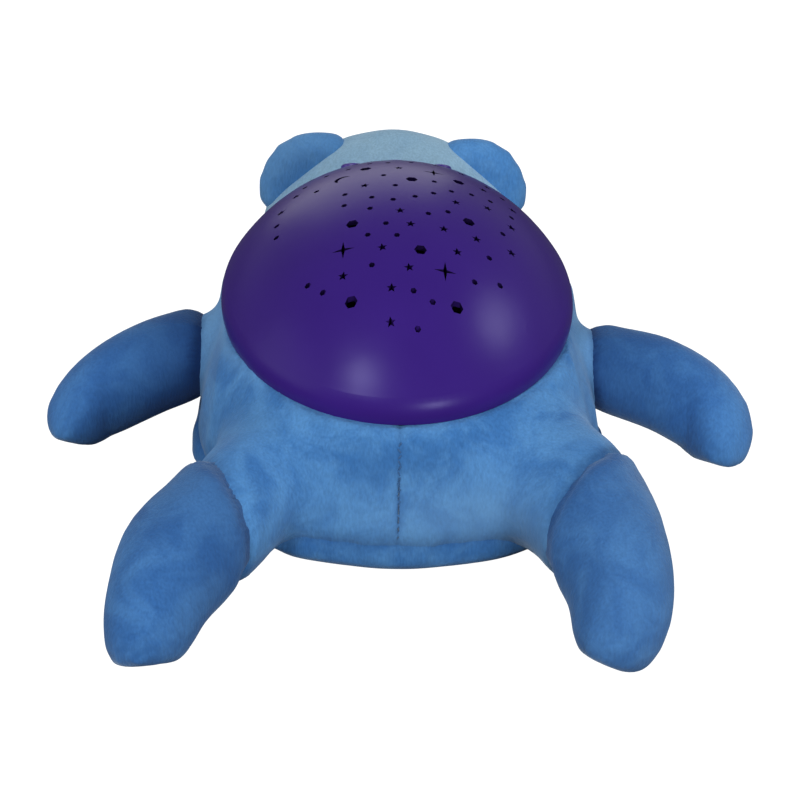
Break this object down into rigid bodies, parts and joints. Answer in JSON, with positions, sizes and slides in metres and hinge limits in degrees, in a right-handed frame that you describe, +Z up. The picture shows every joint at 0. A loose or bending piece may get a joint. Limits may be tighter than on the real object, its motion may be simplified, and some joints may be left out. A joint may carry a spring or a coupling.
{
  "type": "night light projector",
  "caption": "Plush animal night light lying on its belly, with a glossy oval dome on its back whose star-shaped holes throw a starry sky on the ceiling.",
  "frame": {"origin": "on the table below the middle of the dome, which is the middle of the whole toy", "axes": "+Z up, +Y towards the head, +X to the right as the picture shows it from behind"},
  "size_m": [0.3362, 0.3936, 0.134],
  "materials": {
    "plush": "short-pile polyester plush, royal blue",
    "head_plush": "short-pile polyester plush, sky blue",
    "muzzle_plush": "short-pile polyester plush, pale blue",
    "binding": "woven binding tape",
    "nose_cloth": "satin-stitched cloth",
    "eye_gloss": "moulded, polished",
    "dome_abs": "glossy moulded, translucent purple",
    "tub_abs": "moulded, fine grain",
    "deck_abs": "moulded, black",
    "button_abs": "moulded, satin",
    "board_laminate": "green solder mask",
    "switch_plastic": "moulded, black",
    "lamp_blue": "clear tinted lamp",
    "lamp_green": "clear tinted lamp",
    "lamp_amber": "clear tinted lamp",
    "cell_wrap": "plain shrink wrap",
    "contact_steel": "nickel plated spring steel",
    "screw_steel": "zinc plated"
  },
  "bodies": {
    "toy": {"torso": "plush", "belly_panel": "plush", "belly_hem": "binding", "head": "head_plush", "ear_left": "plush", "ear_right": "plush", "muzzle": "muzzle_plush", "nose": "nose_cloth", "eye_left": "eye_gloss", "eye_right": "eye_gloss", "arm_left": "plush", "arm_right": "plush", "leg_left": "plush", "leg_right": "plush", "dome": "dome_abs", "base_tub": "tub_abs", "clamp_ring": "tub_abs", "housing_screws": "screw_steel", "deck": "deck_abs", "deck_screws": "screw_steel", "lamp_post": "deck_abs", "led_board": "board_laminate", "led_blue": "lamp_blue", "led_green": "lamp_green", "led_amber": "lamp_amber", "control_board": "board_laminate", "tact_switches": "switch_plastic", "controller_chip": "switch_plastic", "battery_cells": "cell_wrap", "battery_contacts": "contact_steel"},
    "colour_button": {"button_colour": "button_abs"},
    "power_button": {"button_power": "button_abs"},
    "timer_button": {"button_timer": "button_abs"},
    "cell_door": {"battery_door": "tub_abs", "door_screw": "screw_steel"}
  },
  "joints": [
    {"name": "colour_button_press", "type": "slide", "parent": "toy", "child": "colour_button", "axis": [0, -0.659, -0.7522], "range_m": [0, 0.0012], "stiffness_N_per_m": 800, "springref_m": -0.001},
    {"name": "power_button_press", "type": "slide", "parent": "toy", "child": "power_button", "axis": [0, -0.659, -0.7522], "range_m": [0, 0.0012], "stiffness_N_per_m": 800, "springref_m": -0.001},
    {"name": "timer_button_press", "type": "slide", "parent": "toy", "child": "timer_button", "axis": [0, -0.659, -0.7522], "range_m": [0, 0.0012], "stiffness_N_per_m": 800, "springref_m": -0.001},
    {"name": "cell_door_hinge", "type": "hinge", "parent": "toy", "child": "cell_door", "pos_m": [0, 0.0216, 0.0076], "axis": [1, 0, 0], "range_deg": [0, 75]}
  ]
}
